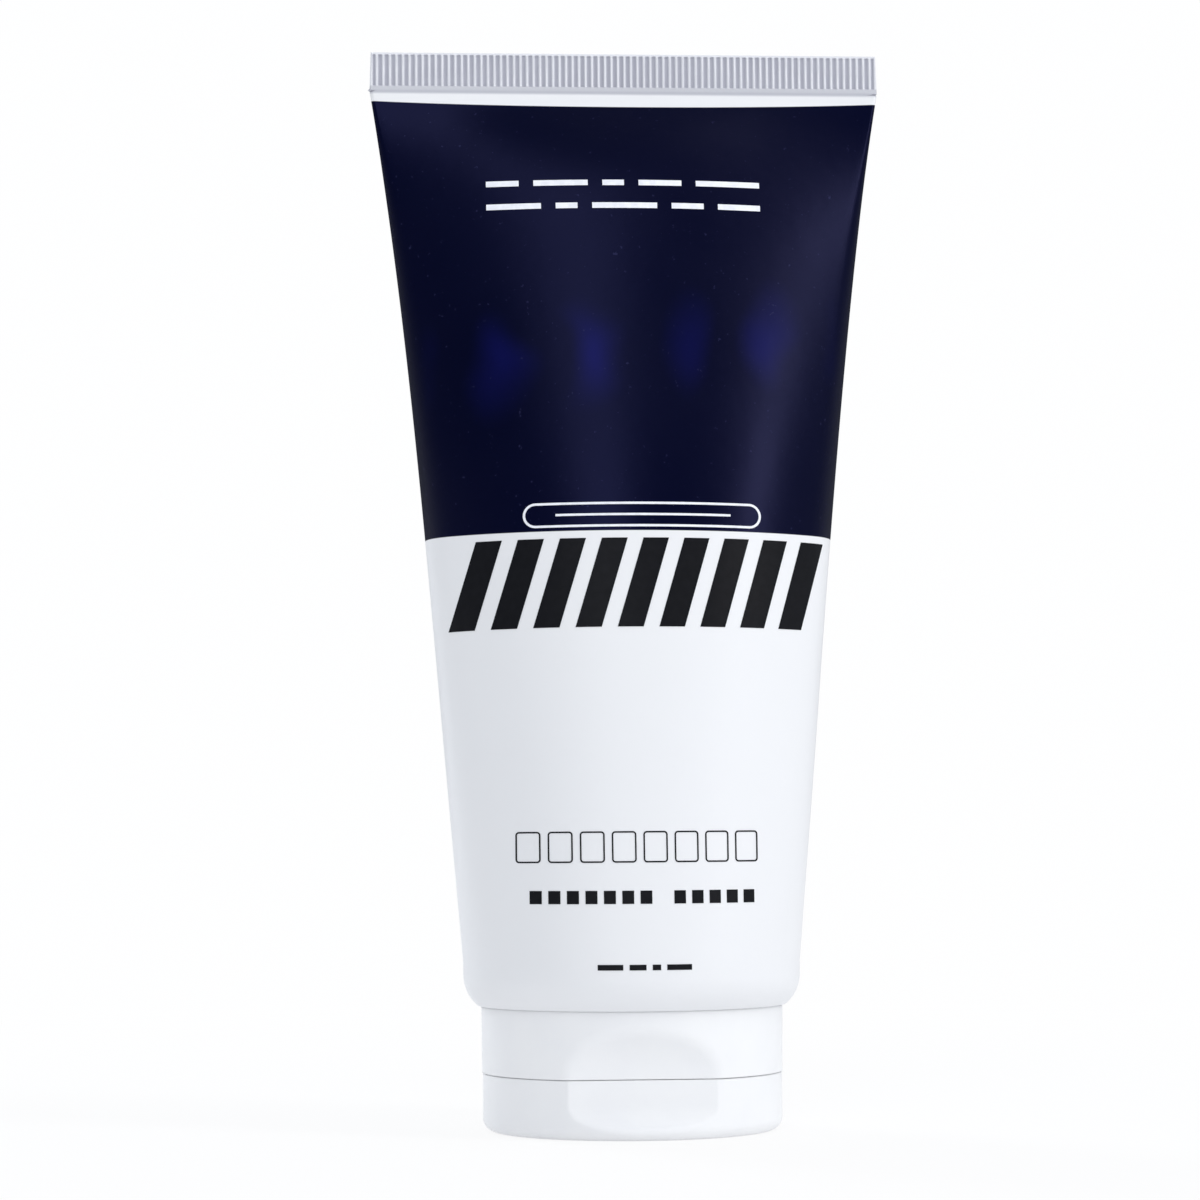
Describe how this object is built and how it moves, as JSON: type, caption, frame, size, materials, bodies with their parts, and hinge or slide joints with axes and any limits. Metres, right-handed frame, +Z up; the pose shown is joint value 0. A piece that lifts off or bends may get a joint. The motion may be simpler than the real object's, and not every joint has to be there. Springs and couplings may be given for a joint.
{
  "type": "shaving cream tube",
  "caption": "Flat-crimped plastic squeeze tube of shaving cream, standing on a push-on flip-top cap with film hinges and a front thumb recess.",
  "frame": {"origin": "centre of the cap's resting face", "axes": "+Z up from the cap to the crimped end, -Y out of the printed front with the thumb recess, +Y to the lid's hinge, +X along the crimp"},
  "size_m": [0.0782, 0.0508, 0.164],
  "materials": {
    "printed_sleeve": "satin",
    "head_plastic": "satin",
    "cap_plastic": "satin",
    "cream": "gloss"
  },
  "bodies": {
    "tube_body": {"tube_sleeve": "printed_sleeve", "tube_head": "head_plastic", "cap_base": "cap_plastic", "hinge_film_left": "cap_plastic", "hinge_film_right": "cap_plastic", "hinge_spring_strap": "cap_plastic", "cream_fill": "cream"},
    "lid": {"flip_lid": "cap_plastic"}
  },
  "joints": [
    {"name": "lid_flip", "type": "hinge", "parent": "tube_body", "child": "lid", "pos_m": [0, 0.02225, 0.0087], "axis": [1, 0, 0], "range_deg": [0, 180], "deforming": ["hinge_film_left", "hinge_film_right", "hinge_spring_strap"]}
  ]
}
